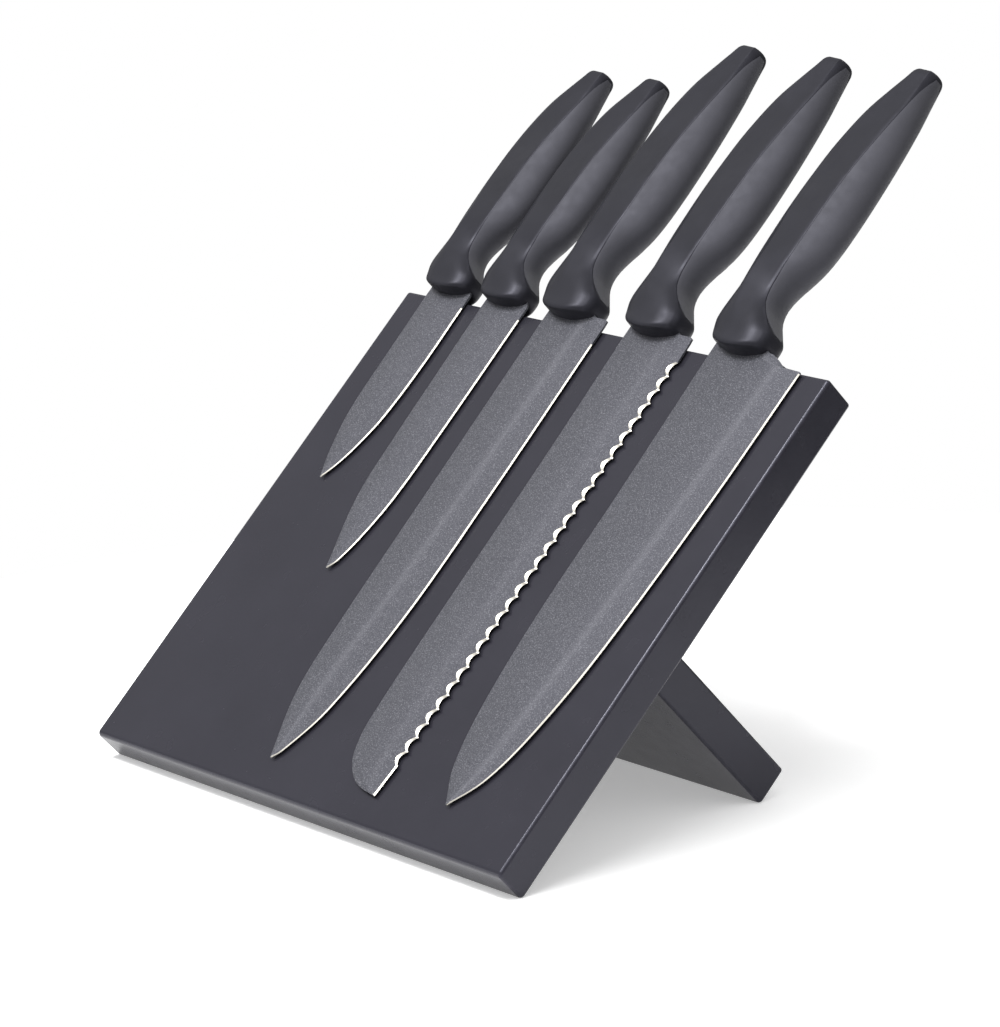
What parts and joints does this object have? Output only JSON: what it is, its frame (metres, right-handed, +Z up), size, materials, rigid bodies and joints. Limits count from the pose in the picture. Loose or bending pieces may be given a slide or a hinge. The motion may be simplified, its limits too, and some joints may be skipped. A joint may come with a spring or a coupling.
{
  "type": "folding magnetic knife rack",
  "caption": "Countertop magnetic knife rack: a flat board leaning back on a fold-flat leg, holding a set of coated kitchen knives by their blades.",
  "frame": {"origin": "middle of the bounding box's underside, on the floor that the rack stands on", "axes": "+Z up; +X to the right as one faces the knives; -Y towards the user, so the board's face looks along -Y and +Z"},
  "size_m": [0.233, 0.244, 0.2563],
  "materials": {
    "satin_coating": "satin charcoal lacquer over fibreboard",
    "back_coating": "matt charcoal lacquer over thin hardboard",
    "nickel_plate": "nickel-plated magnet",
    "zinc_plate": "zinc-plated steel strip",
    "hinge_steel": "rolled steel",
    "screw_steel": "steel",
    "blade_coating": "speckled grey non-stick coating over steel, bright ground edge",
    "handle_plastic": "satin moulded plastic",
    "soft_grip": "fine matt soft-touch elastomer"
  },
  "bodies": {
    "rack": {"board_panel": "satin_coating", "back_panel": "back_coating", "upper_magnet_1": "nickel_plate", "upper_magnet_2": "nickel_plate", "upper_magnet_3": "nickel_plate", "upper_magnet_4": "nickel_plate", "upper_magnet_5": "nickel_plate", "lower_magnet_1": "nickel_plate", "lower_magnet_2": "nickel_plate", "lower_magnet_3": "nickel_plate", "lower_magnet_4": "nickel_plate", "lower_magnet_5": "nickel_plate", "upper_keeper": "zinc_plate", "lower_keeper": "zinc_plate", "left_hinge_board_leaf": "hinge_steel", "left_hinge_pin": "screw_steel", "left_hinge_board_screw_1": "screw_steel", "left_hinge_board_screw_2": "screw_steel", "right_hinge_board_leaf": "hinge_steel", "right_hinge_pin": "screw_steel", "right_hinge_board_screw_1": "screw_steel", "right_hinge_board_screw_2": "screw_steel"},
    "leg": {"leg_panel": "satin_coating", "left_hinge_leg_leaf": "hinge_steel", "left_hinge_leg_screw_1": "screw_steel", "left_hinge_leg_screw_2": "screw_steel", "right_hinge_leg_leaf": "hinge_steel", "right_hinge_leg_screw_1": "screw_steel", "right_hinge_leg_screw_2": "screw_steel"},
    "paring_knife": {"paring_knife_blade": "blade_coating", "paring_knife_core": "handle_plastic", "paring_knife_grip": "soft_grip"},
    "utility_knife": {"utility_knife_blade": "blade_coating", "utility_knife_core": "handle_plastic", "utility_knife_grip": "soft_grip"},
    "carving_knife": {"carving_knife_blade": "blade_coating", "carving_knife_core": "handle_plastic", "carving_knife_grip": "soft_grip"},
    "bread_knife": {"bread_knife_blade": "blade_coating", "bread_knife_core": "handle_plastic", "bread_knife_grip": "soft_grip"},
    "chefs_knife": {"chefs_knife_blade": "blade_coating", "chefs_knife_core": "handle_plastic", "chefs_knife_grip": "soft_grip"}
  },
  "joints": [
    {"name": "leg_fold", "type": "hinge", "parent": "rack", "child": "leg", "pos_m": [0, -0.04292, 0.06623], "axis": [-1, 0, 0], "range_deg": [0, 90]},
    {"name": "paring_knife_lift", "type": "slide", "parent": "rack", "child": "paring_knife", "axis": [0, -0.7071, 0.7071], "range_m": [0, 0.08]},
    {"name": "utility_knife_lift", "type": "slide", "parent": "rack", "child": "utility_knife", "axis": [0, -0.7071, 0.7071], "range_m": [0, 0.08]},
    {"name": "carving_knife_lift", "type": "slide", "parent": "rack", "child": "carving_knife", "axis": [0, -0.7071, 0.7071], "range_m": [0, 0.08]},
    {"name": "bread_knife_lift", "type": "slide", "parent": "rack", "child": "bread_knife", "axis": [0, -0.7071, 0.7071], "range_m": [0, 0.08]},
    {"name": "chefs_knife_lift", "type": "slide", "parent": "rack", "child": "chefs_knife", "axis": [0, -0.7071, 0.7071], "range_m": [0, 0.08]}
  ]
}
